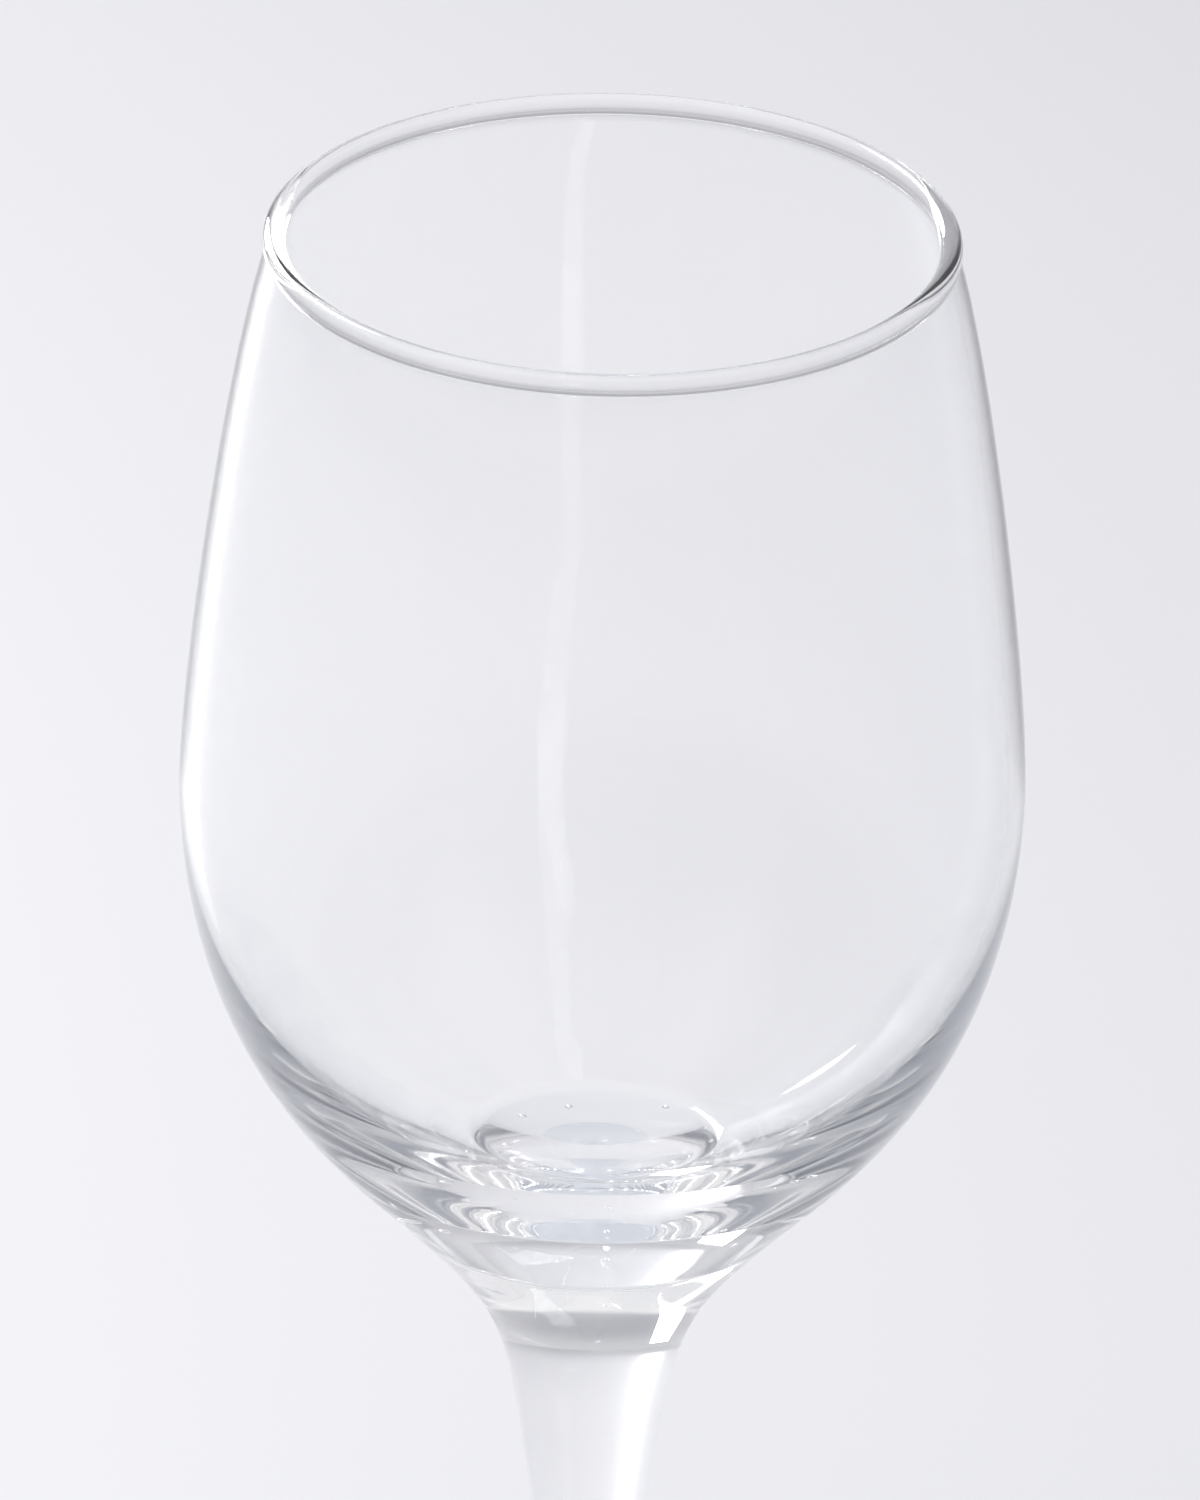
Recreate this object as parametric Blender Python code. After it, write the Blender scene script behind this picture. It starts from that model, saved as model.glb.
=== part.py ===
"""A clear stemmed wine glass: a blown bowl, a stem and a foot, fused end to end while hot.

Metres, +Z up. The origin is the centre of the plane that the foot rests on, and the glass is
turned about the Z axis. Run with: blender --background --python part.py
"""

import math

import bpy
from mathutils import Vector

# A drop is a distance straight down from the middle of the rim's bead, and a height is one above
# the plane that the foot rests on. A lean is an angle away from upright, in the profile's plane.
OVERALL_HEIGHT = 0.2030

# Bowl, outside.
RIM_DIAMETER = 0.0641
BEAD_DIAMETER = 0.0021
NECK_LEAN = math.radians(19.0)
BELLY_DIAMETER = 0.0808
BELLY_DROP = 0.0565
CONE_DIAMETER = 0.0405
CONE_DROP = 0.1023
CONE_LEAN = math.radians(39.0)

# Bowl, inside: a wall, and under it a flat floor with a tight corner, from which the side leans out.
RIM_WALL = 0.00125
BELLY_WALL = 0.0016
CAVITY_DROP = 0.1008
CAVITY_FLOOR_DIAMETER = 0.0234
CAVITY_CORNER_REACH = 0.0012
CAVITY_SIDE_LEAN = math.radians(45.0)
CAVITY_LOWER_REACH = 0.0140
CAVITY_SIDE_REACH = 0.0270

# Where the bowl is fused to the stem.
BOWL_JOINT_DROP = 0.1126
BOWL_JOINT_DIAMETER = 0.0251
BOWL_JOINT_LEAN = math.radians(31.5)

# Stem: a short flare under the bowl, then a long taper to the waist.
FLARE_LENGTH = 0.0125
FLARE_END_DIAMETER = 0.0159
FLARE_END_LEAN = math.radians(9.0)
WAIST_HEIGHT = 0.0420
WAIST_DIAMETER = 0.0098

# Where the stem is fused to the foot.
FOOT_JOINT_HEIGHT = 0.0085
FOOT_JOINT_DIAMETER = 0.0170
FOOT_JOINT_LEAN = math.radians(45.0)

# Foot: a disc that thins to a round edge, hollow underneath inside a flat ring.
FOOT_DIAMETER = 0.0720
FOOT_EDGE_THICKNESS = 0.0022
FOOT_EDGE_SLOPE = math.radians(6.0)
RESTING_RING_WIDTH = 0.0060
HOLLOW_DEPTH = 0.0014

# Fused pieces are kept this far apart, so that each stays a solid of its own.
FUSED_GAP = 0.0003

TURN_STEPS = 48
MERGE_DISTANCE = 0.00001

GLASS_COLOUR = (0.93, 0.95, 0.96, 1.0)
GLASS_ROUGHNESS = 0.02
GLASS_IOR = 1.52

bead_radius = BEAD_DIAMETER / 2
bead_height = OVERALL_HEIGHT - bead_radius
bowl_joint_height = bead_height - BOWL_JOINT_DROP


def clear_scene():
    for old in list(bpy.data.objects):
        bpy.data.objects.remove(old, do_unlink=True)


def point(radius, height):
    """A point of a profile: x is its distance from the Z axis, and y is its height."""
    return Vector((radius, height))


def upward(lean):
    """One unit up along a line that leans outwards by this angle."""
    return Vector((math.sin(lean), math.cos(lean)))


def curve(start, start_handle, end_handle, end, count):
    """Points along a cubic Bezier curve, its start left out."""
    points = []
    for step in range(1, count + 1):
        t = step / count
        s = 1 - t
        near_start = s**3 * start + 3 * s * s * t * start_handle
        near_end = 3 * s * t * t * end_handle + t**3 * end
        points.append(near_start + near_end)
    return points


def arc(centre, radius, first_angle, last_angle, count):
    """Points along a round arc, both ends included."""
    points = []
    for step in range(count + 1):
        angle = first_angle + (last_angle - first_angle) * step / count
        points.append(centre + radius * Vector((math.cos(angle), math.sin(angle))))
    return points


def bowl_profile():
    """From the middle of the cavity's floor, up the inside, over the bead and down the outside."""
    belly_height = bead_height - BELLY_DROP
    cone_height = bead_height - CONE_DROP
    bead_centre = point(RIM_DIAMETER / 2 - bead_radius, bead_height)
    inner_belly = point(BELLY_DIAMETER / 2 - BELLY_WALL, belly_height)
    outer_belly = point(BELLY_DIAMETER / 2, belly_height)
    floor = point(0, bead_height - CAVITY_DROP)
    floor_edge = point(CAVITY_FLOOR_DIAMETER / 2, floor.y)
    cone = point(CONE_DIAMETER / 2, cone_height)
    joint = point(BOWL_JOINT_DIAMETER / 2, bowl_joint_height)

    # The bead starts and ends where it is as wide as the wall that runs up into it.
    wall_angle = math.acos(RIM_WALL / 2 / bead_radius)
    bead = arc(bead_centre, bead_radius, math.pi + wall_angle, -wall_angle, 10)
    neck_reach = 0.21 * (bead[0].y - belly_height) * upward(-NECK_LEAN)
    belly_reach = Vector((0, 0.18 * (bead[0].y - belly_height)))
    lower_span = belly_height - cone_height
    cone_reach = 0.26 * lower_span * upward(CONE_LEAN)
    base_third = (cone - joint).length / 3

    points = [floor, floor_edge]
    corner = floor_edge + Vector((CAVITY_CORNER_REACH, 0))
    corner_end = corner + CAVITY_CORNER_REACH * upward(CAVITY_SIDE_LEAN)
    points += curve(floor_edge, floor_edge.lerp(corner, 0.6), corner_end.lerp(corner, 0.6), corner_end, 4)
    lower_handle = corner_end + CAVITY_LOWER_REACH * upward(CAVITY_SIDE_LEAN)
    side_handle = inner_belly - Vector((0, CAVITY_SIDE_REACH))
    points += curve(corner_end, lower_handle, side_handle, inner_belly, 14)
    points += curve(inner_belly, inner_belly + belly_reach, bead[0] - neck_reach, bead[0], 7)
    points += bead[1:]
    points += curve(bead[-1], bead[-1] - neck_reach, outer_belly + belly_reach, outer_belly, 7)
    belly_handle = outer_belly - Vector((0, 0.56 * lower_span))
    points += curve(outer_belly, belly_handle, cone + cone_reach, cone, 9)
    cone_handle = cone - base_third * upward(CONE_LEAN)
    joint_handle = joint + base_third * upward(BOWL_JOINT_LEAN)
    points += curve(cone, cone_handle, joint_handle, joint, 3)
    points.append(point(0, bowl_joint_height))
    return points


def stem_profile():
    """From the middle of the top face, out to its edge and down the flare, taper and lower flare."""
    top_height = bowl_joint_height - FUSED_GAP
    top_radius = BOWL_JOINT_DIAMETER / 2 - FUSED_GAP * math.tan(BOWL_JOINT_LEAN)
    top = point(top_radius, top_height)
    flare_end = point(FLARE_END_DIAMETER / 2, top_height - FLARE_LENGTH)
    waist = point(WAIST_DIAMETER / 2, WAIST_HEIGHT)
    bottom = point(FOOT_JOINT_DIAMETER / 2, FOOT_JOINT_HEIGHT)
    flare_third = (top - flare_end).length / 3
    taper_third = (flare_end.y - waist.y) / 3
    lower_span = waist.y - bottom.y

    points = [point(0, top_height), top]
    top_handle = top - flare_third * upward(BOWL_JOINT_LEAN)
    flare_handle = flare_end + flare_third * upward(FLARE_END_LEAN)
    points += curve(top, top_handle, flare_handle, flare_end, 5)
    taper_handle = flare_end - taper_third * upward(FLARE_END_LEAN)
    points += curve(flare_end, taper_handle, waist + Vector((0, taper_third)), waist, 4)
    waist_handle = waist - Vector((0, 0.55 * lower_span))
    bottom_handle = bottom + 0.13 * lower_span * upward(-FOOT_JOINT_LEAN)
    points += curve(waist, waist_handle, bottom_handle, bottom, 6)
    points.append(point(0, FOOT_JOINT_HEIGHT))
    return points


def foot_profile():
    """From the middle of the top face, down the slope, round the edge and in under the hollow."""
    top_height = FOOT_JOINT_HEIGHT - FUSED_GAP
    top_radius = FOOT_JOINT_DIAMETER / 2 + FUSED_GAP * math.tan(FOOT_JOINT_LEAN)
    top = point(top_radius, top_height)
    edge_radius = FOOT_EDGE_THICKNESS / 2
    edge_centre = point(FOOT_DIAMETER / 2 - edge_radius, edge_radius)
    edge = arc(edge_centre, edge_radius, math.pi / 2 - FOOT_EDGE_SLOPE, -math.pi / 2, 6)
    ring_inside = point(edge_centre.x - RESTING_RING_WIDTH, 0)
    hollow_top = point(0, HOLLOW_DEPTH)
    slope_span = edge_centre.x - top_radius
    inwards = Vector((-math.cos(FOOT_EDGE_SLOPE), math.sin(FOOT_EDGE_SLOPE)))

    points = [point(0, top_height), top]
    top_handle = top - 0.15 * slope_span * upward(-FOOT_JOINT_LEAN)
    points += curve(top, top_handle, edge[0] + 0.45 * slope_span * inwards, edge[0], 7)
    points += edge[1:]
    points.append(ring_inside)
    ring_handle = ring_inside + Vector((-0.35 * ring_inside.x, HOLLOW_DEPTH))
    points += curve(ring_inside, ring_handle, point(0.4 * ring_inside.x, HOLLOW_DEPTH), hollow_top, 5)
    return points


def glass_material(name):
    material = bpy.data.materials.new(name)
    material.use_nodes = True
    shader = material.node_tree.nodes["Principled BSDF"]
    shader.inputs["Base Color"].default_value = GLASS_COLOUR
    shader.inputs["Roughness"].default_value = GLASS_ROUGHNESS
    shader.inputs["Metallic"].default_value = 0.0
    shader.inputs["IOR"].default_value = GLASS_IOR
    shader.inputs["Transmission Weight"].default_value = 1.0
    return material


def turned_piece(name, profile):
    """Turns a profile about the Z axis into one closed solid, shaded smooth but for its corners."""
    mesh = bpy.data.meshes.new(name)
    vertices = [(corner.x, 0, corner.y) for corner in profile]
    edges = [(index, index + 1) for index in range(len(profile) - 1)]
    mesh.from_pydata(vertices, edges, [])
    mesh.materials.append(glass_material(name + "_glass"))
    piece = bpy.data.objects.new(name, mesh)
    bpy.context.scene.collection.objects.link(piece)
    turn = piece.modifiers.new("Turn", "SCREW")
    turn.axis = "Z"
    turn.steps = TURN_STEPS
    turn.render_steps = TURN_STEPS
    turn.use_merge_vertices = True
    turn.merge_threshold = MERGE_DISTANCE
    turn.use_smooth_shade = True


clear_scene()
turned_piece("bowl", bowl_profile())
turned_piece("stem", stem_profile())
turned_piece("foot", foot_profile())
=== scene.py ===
import math

import bpy
from mathutils import Euler, Matrix, Vector


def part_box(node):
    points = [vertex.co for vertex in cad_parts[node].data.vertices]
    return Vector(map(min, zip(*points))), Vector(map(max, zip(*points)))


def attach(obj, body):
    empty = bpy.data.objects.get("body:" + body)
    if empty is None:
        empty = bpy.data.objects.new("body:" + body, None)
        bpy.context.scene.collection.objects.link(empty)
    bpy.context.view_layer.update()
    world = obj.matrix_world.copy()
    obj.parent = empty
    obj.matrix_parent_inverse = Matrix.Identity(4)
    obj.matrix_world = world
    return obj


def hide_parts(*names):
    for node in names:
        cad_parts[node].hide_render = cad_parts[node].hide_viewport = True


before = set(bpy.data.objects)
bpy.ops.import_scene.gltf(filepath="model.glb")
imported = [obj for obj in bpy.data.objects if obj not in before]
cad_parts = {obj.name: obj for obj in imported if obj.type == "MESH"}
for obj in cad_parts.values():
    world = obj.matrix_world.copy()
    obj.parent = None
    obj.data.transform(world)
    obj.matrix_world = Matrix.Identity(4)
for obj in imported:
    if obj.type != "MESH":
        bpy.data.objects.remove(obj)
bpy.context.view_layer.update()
mm = 0.001  # lengths are in metres, and the dictionaries' angles in degrees
print("frame loaded")


def linear(hexColour):
    # sRGB hex, such as "#E8E7EC", to the linear colour that shaders use
    channels = [int(hexColour[i:i + 2], 16) / 255 for i in (1, 3, 5)]
    curved = [c / 12.92 if c <= 0.04045 else ((c + 0.055) / 1.055) ** 2.4 for c in channels]
    return (*curved, 1.0)


def addNode(tree, kind, settings=None, links=None):
    # settings are the node's own or its inputs' values, links go from a socket into an input
    node = tree.nodes.new(kind)
    for key, value in (settings or {}).items():
        if isinstance(key, str) and hasattr(node, key):
            setattr(node, key, value)
        else:
            node.inputs[key].default_value = value
    for key, source in (links or {}).items():
        tree.links.new(source, node.inputs[key])
    return node


def newMaterial(name):
    material = bpy.data.materials.new(name)
    material.use_nodes = True
    material.node_tree.nodes.clear()
    return material, material.node_tree


# Soda-lime glass, blown and fire-polished: the flame melts the skin smooth, so the eye gets hard, clean
# highlights, with slow waves in the wall, and a cool grey where the sight line runs along the glass.
sodaLime = {
    "ior": 1.52,
    "faceColour": "#FFFFFF",
    "edgeColour": "#F8FAFC",
    "edgeBlend": 0.15,
    "waveLength": 17 * mm,
    "waveHeight": 0.004 * mm,
    "waveDetail": 1.0,
    "smearLength": 30 * mm,
    "smearDetail": 3.0,
    "smearStart": 0.45,  # the polish softens between these two strengths of the smears
    "smearFull": 0.8,
    "roughLowest": 0.015,
    "roughHighest": 0.035,
    "shadowColour": "#F4F6F8",
    "seamColour": "#FFFFFF",
}


def firePolishedSodaLime(name, look):
    material, tree = newMaterial(name)
    place = addNode(tree, "ShaderNodeTexCoord").outputs["Object"]
    facing = addNode(tree, "ShaderNodeLayerWeight", {"Blend": look["edgeBlend"]}).outputs["Facing"]
    tint = addNode(
        tree, "ShaderNodeMix",
        {"data_type": "RGBA", 6: linear(look["faceColour"]), 7: linear(look["edgeColour"])},
        {0: facing},
    ).outputs[2]
    waves = addNode(
        tree, "ShaderNodeTexNoise",
        {"Scale": 1 / look["waveLength"], "Detail": look["waveDetail"]}, {"Vector": place},
    ).outputs["Fac"]
    skin = addNode(
        tree, "ShaderNodeBump", {"Strength": 1.0, "Distance": look["waveHeight"]}, {"Height": waves},
    ).outputs["Normal"]
    smears = addNode(
        tree, "ShaderNodeTexNoise",
        {"Scale": 1 / look["smearLength"], "Detail": look["smearDetail"]}, {"Vector": place},
    ).outputs["Fac"]
    polish = addNode(
        tree, "ShaderNodeMapRange",
        {
            "From Min": look["smearStart"], "From Max": look["smearFull"],
            "To Min": look["roughLowest"], "To Max": look["roughHighest"],
        },
        {"Value": smears},
    ).outputs["Result"]
    glass = addNode(
        tree, "ShaderNodeBsdfPrincipled",
        {"IOR": look["ior"], "Transmission Weight": 1.0, "Metallic": 0.0},
        {"Base Color": tint, "Roughness": polish, "Normal": skin},
    ).outputs["BSDF"]
    # light on its way to the floor goes straight through, as through any thin clear wall
    path = addNode(tree, "ShaderNodeLightPath")
    clear = addNode(tree, "ShaderNodeBsdfTransparent", {"Color": linear(look["shadowColour"])}).outputs[0]
    bounced = addNode(
        tree, "ShaderNodeMixShader", {}, {0: path.outputs["Is Diffuse Ray"], 1: glass, 2: clear},
    ).outputs[0]
    shown = addNode(
        tree, "ShaderNodeMixShader", {}, {0: path.outputs["Is Shadow Ray"], 1: bounced, 2: clear},
    ).outputs[0]
    addNode(tree, "ShaderNodeOutputMaterial", {}, {"Surface": shown})
    return material


def fusedSeam(name, look):
    # where two gathers of glass were melted together there is no surface left to see
    material, tree = newMaterial(name)
    clear = addNode(tree, "ShaderNodeBsdfTransparent", {"Color": linear(look["seamColour"])}).outputs[0]
    addNode(tree, "ShaderNodeOutputMaterial", {}, {"Surface": clear})
    return material


glassMaterial = firePolishedSodaLime("soda-lime glass, fire-polished", sodaLime)
seamMaterial = fusedSeam("soda-lime glass, fused seam", sodaLime)
print("glass mixed")


def upAlong(lean):
    # one unit up a line that leans outwards by this angle
    angle = math.radians(lean)
    return Vector((math.sin(angle), math.cos(angle)))


def curve(start, startHandle, endHandle, end, count):
    # a cubic Bezier curve, its start left out
    points = []
    for step in range(1, count + 1):
        t = step / count
        s = 1 - t
        points.append(s**3 * start + 3 * s * s * t * startHandle + 3 * s * t * t * endHandle + t**3 * end)
    return points


def arc(centre, radius, firstAngle, lastAngle, count):
    points = []
    for step in range(count + 1):
        angle = firstAngle + (lastAngle - firstAngle) * step / count
        points.append(centre + radius * Vector((math.cos(angle), math.sin(angle))))
    return points


def addSeed(vertices, faces, centre, radius, steps=16, rows=8):
    # a seed is a small round bubble of air shut inside the glass, so its skin faces inwards
    first = len(vertices)
    vertices.append(centre + Vector((0, 0, radius)))
    for row in range(1, rows):
        lean = math.pi * row / rows
        for step in range(steps):
            turn = 2 * math.pi * step / steps
            out = Vector((math.sin(lean) * math.cos(turn), math.sin(lean) * math.sin(turn), math.cos(lean)))
            vertices.append(centre + radius * out)
    vertices.append(centre - Vector((0, 0, radius)))
    last = len(vertices) - 1
    for step in range(steps):
        after = (step + 1) % steps
        faces.append((first, first + 1 + after, first + 1 + step))
        for row in range(rows - 2):
            upper = first + 1 + row * steps
            lower = upper + steps
            faces.append((upper + step, upper + after, lower + after, lower + step))
        faces.append((last, last - steps + step, last - steps + after))


turning = {
    "steps": 192,
    "sharpAngle": 50,
    "seamTolerance": 0.001 * mm,
}


def turnedPiece(name, profile, seamHeights, seeds=()):
    # turns a profile of (distance from the axis, height) points into one closed skin
    steps = turning["steps"]
    ring = profile[1:-1]
    vertices = [(0, 0, profile[0].y)]
    for corner in ring:
        for step in range(steps):
            angle = 2 * math.pi * step / steps
            vertices.append((corner.x * math.cos(angle), corner.x * math.sin(angle), corner.y))
    vertices.append((0, 0, profile[-1].y))
    end = len(vertices) - 1
    faces = []
    for step in range(steps):
        after = (step + 1) % steps
        faces.append((0, 1 + step, 1 + after))
        for row in range(len(ring) - 1):
            inner = 1 + row * steps
            outer = inner + steps
            faces.append((inner + step, outer + step, outer + after, inner + after))
        final = 1 + (len(ring) - 1) * steps
        faces.append((final + step, end, final + after))
    for centre, radius in seeds:
        addSeed(vertices, faces, centre, radius)
    mesh = bpy.data.meshes.new(name)
    mesh.from_pydata(vertices, [], faces)
    mesh.materials.append(glassMaterial)
    mesh.materials.append(seamMaterial)
    mesh.shade_smooth()
    # a face that lies level at a seam's height is one of the two that were melted together
    for face in mesh.polygons:
        heights = [mesh.vertices[index].co.z for index in face.vertices]
        for seam in seamHeights:
            if max(abs(height - seam) for height in heights) < turning["seamTolerance"]:
                face.material_index = 1
    mesh.set_sharp_from_angle(angle=math.radians(turning["sharpAngle"]))
    mesh.validate()
    piece = bpy.data.objects.new(name, mesh)
    bpy.context.scene.collection.objects.link(piece)
    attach(piece, "root")
    return piece


bowlLow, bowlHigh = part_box("bowl")
stemLow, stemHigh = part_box("stem")
footLow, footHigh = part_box("foot")

# A seam lies halfway across the frame's gap between two pieces, on the slope that their outsides share.
seamSize = {
    "bowlLean": 31.5,
    "footLean": -45.0,
    "footDiameter": 17.0 * mm,  # across the stem's lowest face
}
bowlSeam = (bowlLow.z + stemHigh.z) / 2
footSeam = (stemLow.z + footHigh.z) / 2
bowlSeamRadius = stemHigh.x + (bowlSeam - stemHigh.z) * math.tan(math.radians(seamSize["bowlLean"]))
footSlope = math.tan(math.radians(seamSize["footLean"]))
footSeamRadius = seamSize["footDiameter"] / 2 + (footSeam - stemLow.z) * footSlope

# A drop is a distance straight down from the middle of the bead. A pull is how far a curve keeps to the
# direction of its end, as a share of the height that it spans.
bowlSize = {
    "rimDiameter": 64.1 * mm,
    "beadDiameter": 2.1 * mm,
    "neckLean": -19.0,
    "neckPull": 0.21,
    "bellyDrop": 56.5 * mm,
    "bellyPullUp": 0.18,
    "bellyPullDown": 0.56,
    "coneDiameter": 40.5 * mm,
    "coneDrop": 102.3 * mm,
    "coneLean": 39.0,
    "conePull": 0.26,
    "rimWall": 1.25 * mm,
    "bellyWall": 1.6 * mm,
    "cavityDrop": 100.8 * mm,
    "cavityFloorDiameter": 23.4 * mm,
    "cavityCornerReach": 1.2 * mm,
    "cavityCornerPull": 0.6,  # of the corner's reach
    "cavitySideLean": 45.0,
    "cavityLowerReach": 14.0 * mm,
    "cavitySideReach": 27.0 * mm,
    "cornerPoints": 16,
    "cavityPoints": 72,
    "neckPoints": 36,
    "beadPoints": 36,
    "lowerPoints": 54,
    "basePoints": 36,
    "seedCount": 9,
    "seedTurn": 137.5,
    "seedRadius": (0.25 * mm, 0.55 * mm),
    "seedReach": (9.0 * mm, 15.0 * mm),
    "seedDepth": (2.0 * mm, 4.5 * mm),
    "radiusJump": 0.38,
    "reachJump": 0.62,
    "depthJump": 0.27,
}


def spread(ends, jump, index):
    # goes up a range by even jumps, and starts again from its low end each time it passes the high one
    low, high = ends
    return low + (high - low) * (jump * (index + 1) % 1.0)


def placeSeeds(size, floorHeight):
    # a few seeds in the thick base, spread round it by the golden angle
    seeds = []
    for index in range(size["seedCount"]):
        turn = math.radians(size["seedTurn"] * index)
        radius = spread(size["seedRadius"], size["radiusJump"], index)
        reach = spread(size["seedReach"], size["reachJump"], index)
        depth = spread(size["seedDepth"], size["depthJump"], index)
        centre = Vector((reach * math.cos(turn), reach * math.sin(turn), floorHeight - depth))
        seeds.append((centre, radius))
    return seeds


def makeBowl(size):
    # from the middle of the cavity's floor, up the inside, over the bead and down the outside
    beadRadius = size["beadDiameter"] / 2
    beadHeight = bowlHigh.z - beadRadius
    bellyHeight = beadHeight - size["bellyDrop"]
    coneHeight = beadHeight - size["coneDrop"]
    beadCentre = Vector((size["rimDiameter"] / 2 - beadRadius, beadHeight))
    outerBelly = Vector((bowlHigh.x, bellyHeight))
    innerBelly = outerBelly - Vector((size["bellyWall"], 0))
    floor = Vector((0, beadHeight - size["cavityDrop"]))
    floorEdge = floor + Vector((size["cavityFloorDiameter"] / 2, 0))
    cone = Vector((size["coneDiameter"] / 2, coneHeight))
    joint = Vector((bowlSeamRadius, bowlSeam))

    # the bead starts and ends where it is as wide as the wall that runs up into it
    wallAngle = math.acos(size["rimWall"] / 2 / beadRadius)
    bead = arc(beadCentre, beadRadius, math.pi + wallAngle, -wallAngle, size["beadPoints"])
    neckReach = size["neckPull"] * (bead[0].y - bellyHeight) * upAlong(size["neckLean"])
    bellyReach = Vector((0, size["bellyPullUp"] * (bead[0].y - bellyHeight)))
    lowerSpan = bellyHeight - coneHeight
    coneReach = size["conePull"] * lowerSpan * upAlong(size["coneLean"])
    baseThird = (cone - joint).length / 3

    points = [floor, floorEdge]
    corner = floorEdge + Vector((size["cavityCornerReach"], 0))
    cornerEnd = corner + size["cavityCornerReach"] * upAlong(size["cavitySideLean"])
    cornerHandle = floorEdge.lerp(corner, size["cavityCornerPull"])
    cornerEndHandle = cornerEnd.lerp(corner, size["cavityCornerPull"])
    points += curve(floorEdge, cornerHandle, cornerEndHandle, cornerEnd, size["cornerPoints"])
    lowerHandle = cornerEnd + size["cavityLowerReach"] * upAlong(size["cavitySideLean"])
    sideHandle = innerBelly - Vector((0, size["cavitySideReach"]))
    points += curve(cornerEnd, lowerHandle, sideHandle, innerBelly, size["cavityPoints"])
    points += curve(innerBelly, innerBelly + bellyReach, bead[0] - neckReach, bead[0], size["neckPoints"])
    points += bead[1:]
    points += curve(bead[-1], bead[-1] - neckReach, outerBelly + bellyReach, outerBelly, size["neckPoints"])
    bellyHandle = outerBelly - Vector((0, size["bellyPullDown"] * lowerSpan))
    points += curve(outerBelly, bellyHandle, cone + coneReach, cone, size["lowerPoints"])
    coneHandle = cone - baseThird * upAlong(size["coneLean"])
    jointHandle = joint + baseThird * upAlong(seamSize["bowlLean"])
    points += curve(cone, coneHandle, jointHandle, joint, size["basePoints"])
    points.append(Vector((0, bowlSeam)))
    bowl = turnedPiece("blown_bowl", points, [bowlSeam], placeSeeds(size, floor.y))
    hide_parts("bowl")


makeBowl(bowlSize)
print("bowl blown")

stemSize = {
    "flareLength": 12.5 * mm,
    "flareEndDiameter": 15.9 * mm,
    "flareEndLean": 9.0,
    "waistHeight": 42.0 * mm,
    "waistDiameter": 9.8 * mm,
    "waistPull": 0.55,
    "bottomPull": 0.13,
    "flarePoints": 60,
    "taperPoints": 40,
    "lowerPoints": 60,
}


def makeStem(size):
    # from the seam under the bowl, down the flare, the taper and the lower flare
    top = Vector((bowlSeamRadius, bowlSeam))
    flareEnd = Vector((size["flareEndDiameter"] / 2, stemHigh.z - size["flareLength"]))
    waist = Vector((size["waistDiameter"] / 2, size["waistHeight"]))
    bottom = Vector((footSeamRadius, footSeam))
    flareThird = (top - flareEnd).length / 3
    taperThird = (flareEnd.y - waist.y) / 3
    lowerSpan = waist.y - bottom.y

    points = [Vector((0, bowlSeam)), top]
    topHandle = top - flareThird * upAlong(seamSize["bowlLean"])
    flareHandle = flareEnd + flareThird * upAlong(size["flareEndLean"])
    points += curve(top, topHandle, flareHandle, flareEnd, size["flarePoints"])
    taperHandle = flareEnd - taperThird * upAlong(size["flareEndLean"])
    points += curve(flareEnd, taperHandle, waist + Vector((0, taperThird)), waist, size["taperPoints"])
    waistHandle = waist - Vector((0, size["waistPull"] * lowerSpan))
    bottomHandle = bottom + size["bottomPull"] * lowerSpan * upAlong(seamSize["footLean"])
    points += curve(waist, waistHandle, bottomHandle, bottom, size["lowerPoints"])
    points.append(Vector((0, footSeam)))
    stem = turnedPiece("drawn_stem", points, [bowlSeam, footSeam])
    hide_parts("stem")


makeStem(stemSize)
print("stem drawn")

# Here a pull is a share of the slope's width, or of the hollow's radius.
footSize = {
    "edgeThickness": 2.2 * mm,
    "edgeSlope": 6.0,
    "topPull": 0.15,
    "slopePull": 0.45,
    "restingRingWidth": 6.0 * mm,
    "hollowDepth": 1.4 * mm,
    "ringPull": 0.35,
    "hollowPull": 0.4,
    "edgePoints": 24,
    "slopePoints": 60,
    "hollowPoints": 40,
}


def makeFoot(size):
    # from the seam under the stem, down the slope, round the edge and in under the hollow
    top = Vector((footSeamRadius, footSeam))
    edgeRadius = size["edgeThickness"] / 2
    edgeCentre = Vector((footHigh.x - edgeRadius, footLow.z + edgeRadius))
    edgeStart = math.radians(90 - size["edgeSlope"])
    edge = arc(edgeCentre, edgeRadius, edgeStart, -math.pi / 2, size["edgePoints"])
    ringInside = Vector((edgeCentre.x - size["restingRingWidth"], footLow.z))
    hollowTop = Vector((0, footLow.z + size["hollowDepth"]))
    slopeSpan = edgeCentre.x - top.x
    slope = math.radians(size["edgeSlope"])
    inwards = Vector((-math.cos(slope), math.sin(slope)))

    points = [Vector((0, footSeam)), top]
    topHandle = top - size["topPull"] * slopeSpan * upAlong(seamSize["footLean"])
    slopeHandle = edge[0] + size["slopePull"] * slopeSpan * inwards
    points += curve(top, topHandle, slopeHandle, edge[0], size["slopePoints"])
    points += edge[1:]
    points.append(ringInside)
    ringHandle = ringInside + Vector((-size["ringPull"] * ringInside.x, size["hollowDepth"]))
    hollowHandle = Vector((size["hollowPull"] * ringInside.x, hollowTop.y))
    points += curve(ringInside, ringHandle, hollowHandle, hollowTop, size["hollowPoints"])
    foot = turnedPiece("pressed_foot", points, [footSeam])
    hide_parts("foot")


makeFoot(footSize)
print("foot pressed")

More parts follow.
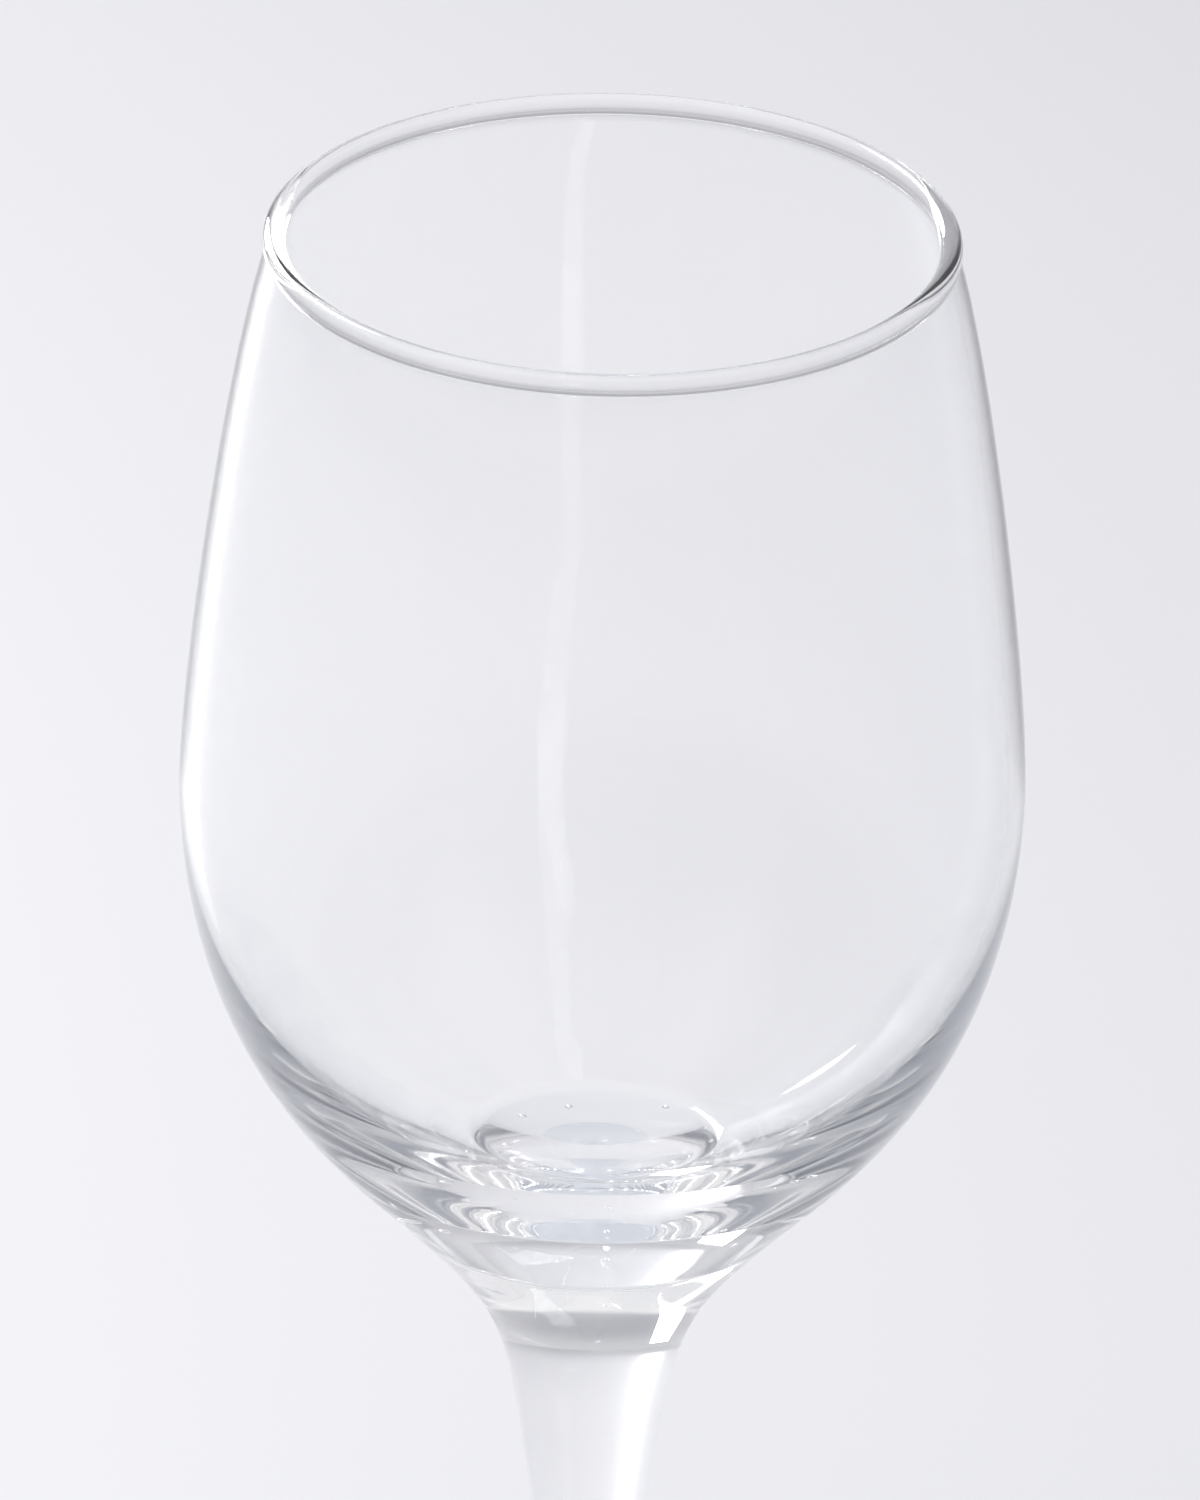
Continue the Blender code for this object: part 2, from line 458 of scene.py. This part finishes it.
# Card pressed from white pulp: the eye gets a matt, nearly shineless ground with faint clouds in it. Real
# clouds are a few millimetres across, and these are drawn coarser so that they show.
# The card's colour also holds painted light: lighter to the left of the glass, darker to the right.
floorLook = {
    "radius": 6.0,
    "sides": 96,
    "drop": 0.02 * mm,  # below the foot, so that their two faces don't meet
    "paintedLightColour": "#F5F5F7",
    "paintedShadeColour": "#E5E5E8",
    "paintedLightEdge": -0.35,  # painted light: the card's colour is lighter to the left of the glass than to the right, a painted falloff of light
    "paintedShadeEdge": 0.35,
    "cloudSize": 60 * mm,
    "cloudDetail": 2.0,
    "cloudDepth": 0.03,
    "roughness": 0.5,
    "shine": 0.1,
}


def mattCard(name, look):
    material, tree = newMaterial(name)
    place = addNode(tree, "ShaderNodeTexCoord").outputs["Object"]
    pulp = addNode(
        tree, "ShaderNodeTexNoise",
        {"Scale": 1 / look["cloudSize"], "Detail": look["cloudDetail"]}, {"Vector": place},
    ).outputs["Fac"]
    across = addNode(tree, "ShaderNodeSeparateXYZ", {}, {0: place}).outputs["X"]
    # painted light: the colour runs from the lit colour left of the glass to the dim one right of it, a
    # painted falloff of light, with the pulp's clouds added on top
    paintedFalloff = addNode(
        tree, "ShaderNodeMapRange",
        {"interpolation_type": "SMOOTHSTEP", "From Min": look["paintedLightEdge"], "From Max": look["paintedShadeEdge"]},
        {"Value": across},
    ).outputs["Result"]
    cloudsAndPaintedFalloff = addNode(
        tree, "ShaderNodeMath", {"operation": "MULTIPLY_ADD", 1: look["cloudDepth"]}, {0: pulp, 2: paintedFalloff},
    ).outputs[0]
    shade = addNode(
        tree, "ShaderNodeMix",
        {"data_type": "RGBA", 6: linear(look["paintedLightColour"]), 7: linear(look["paintedShadeColour"])},
        {0: cloudsAndPaintedFalloff},
    ).outputs[2]
    card = addNode(
        tree, "ShaderNodeBsdfPrincipled",
        {"Roughness": look["roughness"], "Specular IOR Level": look["shine"]}, {"Base Color": shade},
    )
    addNode(tree, "ShaderNodeOutputMaterial", {}, {"Surface": card.outputs[0]})
    return material


def makeFloor(look):
    corners = []
    for side in range(look["sides"]):
        turn = 2 * math.pi * side / look["sides"]
        corners.append((look["radius"] * math.cos(turn), look["radius"] * math.sin(turn), footLow.z))
    mesh = bpy.data.meshes.new("studio_floor")
    mesh.from_pydata(corners, [], [tuple(range(look["sides"]))])
    mesh.materials.append(mattCard("card, matt white", look))
    floor = bpy.data.objects.new("studio_floor", mesh)
    bpy.context.scene.collection.objects.link(floor)
    floor.location.z = -look["drop"]


makeFloor(floorLook)

# The glass bends into view a bright ceiling, a grey wall beyond it, darker drapes on both sides and the room
# behind the camera, all hazy near the horizon. Wall and haze end at angles above the horizon, the drapes
# fade in at angles to each side, and the room at angles backwards.
studio = {
    "ceilingColour": "#F4F3F4",
    "wallColour": "#AFAFB4",
    "wallTop": 29.0,
    "wallFade": 5.0,
    "hazeColour": "#CBCBCE",
    "hazeTop": 15.0,
    "drapeColour": "#5C606B",
    "drapeStart": 42.0,
    "drapeFull": 62.0,
    "roomColour": "#8B8F99",
    "roomStart": 8.0,
    "roomFull": 40.0,
}


def makeWorld(look):
    world = bpy.data.worlds.new("soft studio")
    world.use_nodes = True
    tree = world.node_tree
    tree.nodes.clear()
    direction = addNode(tree, "ShaderNodeTexCoord").outputs["Generated"]
    parts = addNode(tree, "ShaderNodeSeparateXYZ", {}, {0: direction}).outputs
    aside = addNode(tree, "ShaderNodeMath", {"operation": "ABSOLUTE"}, {0: parts["X"]}).outputs[0]
    halfFade = look["wallFade"] / 2
    # each layer covers the ones before it, from the first angle on and fully by the second
    layers = (
        ("ceilingColour", parts["Z"], look["wallTop"] - halfFade, look["wallTop"] + halfFade),
        ("roomColour", parts["Y"], -look["roomStart"], -look["roomFull"]),
        ("drapeColour", aside, look["drapeStart"], look["drapeFull"]),
        ("hazeColour", parts["Z"], look["hazeTop"], 0.0),
    )
    wall = addNode(tree, "ShaderNodeRGB")
    wall.outputs[0].default_value = linear(look["wallColour"])
    sky = wall.outputs[0]
    for colour, axis, first, last in layers:
        start = math.sin(math.radians(first))
        full = math.sin(math.radians(last))
        share = addNode(
            tree, "ShaderNodeMapRange",
            {"interpolation_type": "SMOOTHSTEP", "From Min": start, "From Max": full}, {"Value": axis},
        ).outputs["Result"]
        sky = addNode(
            tree, "ShaderNodeMix", {"data_type": "RGBA", 7: linear(look[colour])}, {0: share, 6: sky},
        ).outputs[2]
    light = addNode(tree, "ShaderNodeBackground", {}, {"Color": sky})
    addNode(tree, "ShaderNodeOutputWorld", {}, {"Surface": light.outputs[0]})
    bpy.context.scene.world = world


makeWorld(studio)

# Where each lamp hangs is a turn to the right of straight ahead and a rise above the horizon, as seen from
# inside the bowl. A window shows in the glass and a fill lights the floor.
bowlShare = 0.7  # of the glass's height, where the lamps aim
lamps = {
    "window": {
        "turn": -30, "rise": 24, "away": 1.35, "width": 0.32, "height": 1.2, "power": 25.0, "seen": True,
    },
    "overhead_fill": {
        "turn": -90, "rise": 72, "away": 1.2, "width": 1.2, "height": 1.2, "power": 9.0, "seen": False,
    },
}


def hangLamp(name, lamp):
    panel = bpy.data.lights.new(name, "AREA")
    panel.shape = "RECTANGLE"
    panel.size = lamp["width"]
    panel.size_y = lamp["height"]
    panel.energy = lamp["power"]
    light = bpy.data.objects.new(name, panel)
    turn = math.radians(lamp["turn"])
    rise = math.radians(lamp["rise"])
    towards = Vector((math.sin(turn) * math.cos(rise), math.cos(turn) * math.cos(rise), math.sin(rise)))
    light.location = Vector((0, 0, bowlHigh.z * bowlShare)) + lamp["away"] * towards
    light.rotation_euler = towards.to_track_quat("Z", "Y").to_euler()
    light.visible_camera = False
    light.visible_diffuse = not lamp["seen"]
    light.visible_glossy = lamp["seen"]
    light.visible_transmission = lamp["seen"]
    bpy.context.scene.collection.objects.link(light)


for lampName, lamp in lamps.items():
    hangLamp(lampName, lamp)
print("studio lit")

cameraPlace = {
    "distance": 548.9 * mm,
    "height": 451.5 * mm,
    "pitch": 28.9,
    "yaw": 0.03,
    "roll": 1.1,
    "lens": 157.7,
    "sensor": 36.0,
}


def makeCamera(place):
    lens = bpy.data.cameras.new("camera")
    lens.lens = place["lens"]
    lens.sensor_width = place["sensor"]
    lens.sensor_fit = "AUTO"
    camera = bpy.data.objects.new("camera", lens)
    camera.location = (0, -place["distance"], place["height"])
    aim = Euler((math.radians(90 - place["pitch"]), 0, math.radians(place["yaw"]))).to_matrix()
    camera.rotation_euler = (aim @ Matrix.Rotation(math.radians(place["roll"]), 3, "Z")).to_euler()
    bpy.context.scene.collection.objects.link(camera)
    bpy.context.scene.camera = camera


makeCamera(cameraPlace)
print("camera placed")

# light runs round inside the wall many times before it leaves, so its paths are long
glassBounces = 64
scene = bpy.context.scene
scene.view_settings.view_transform = "Standard"
scene.cycles.max_bounces = glassBounces
scene.cycles.transmission_bounces = glassBounces
scene.cycles.glossy_bounces = glassBounces
scene.cycles.transparent_max_bounces = glassBounces
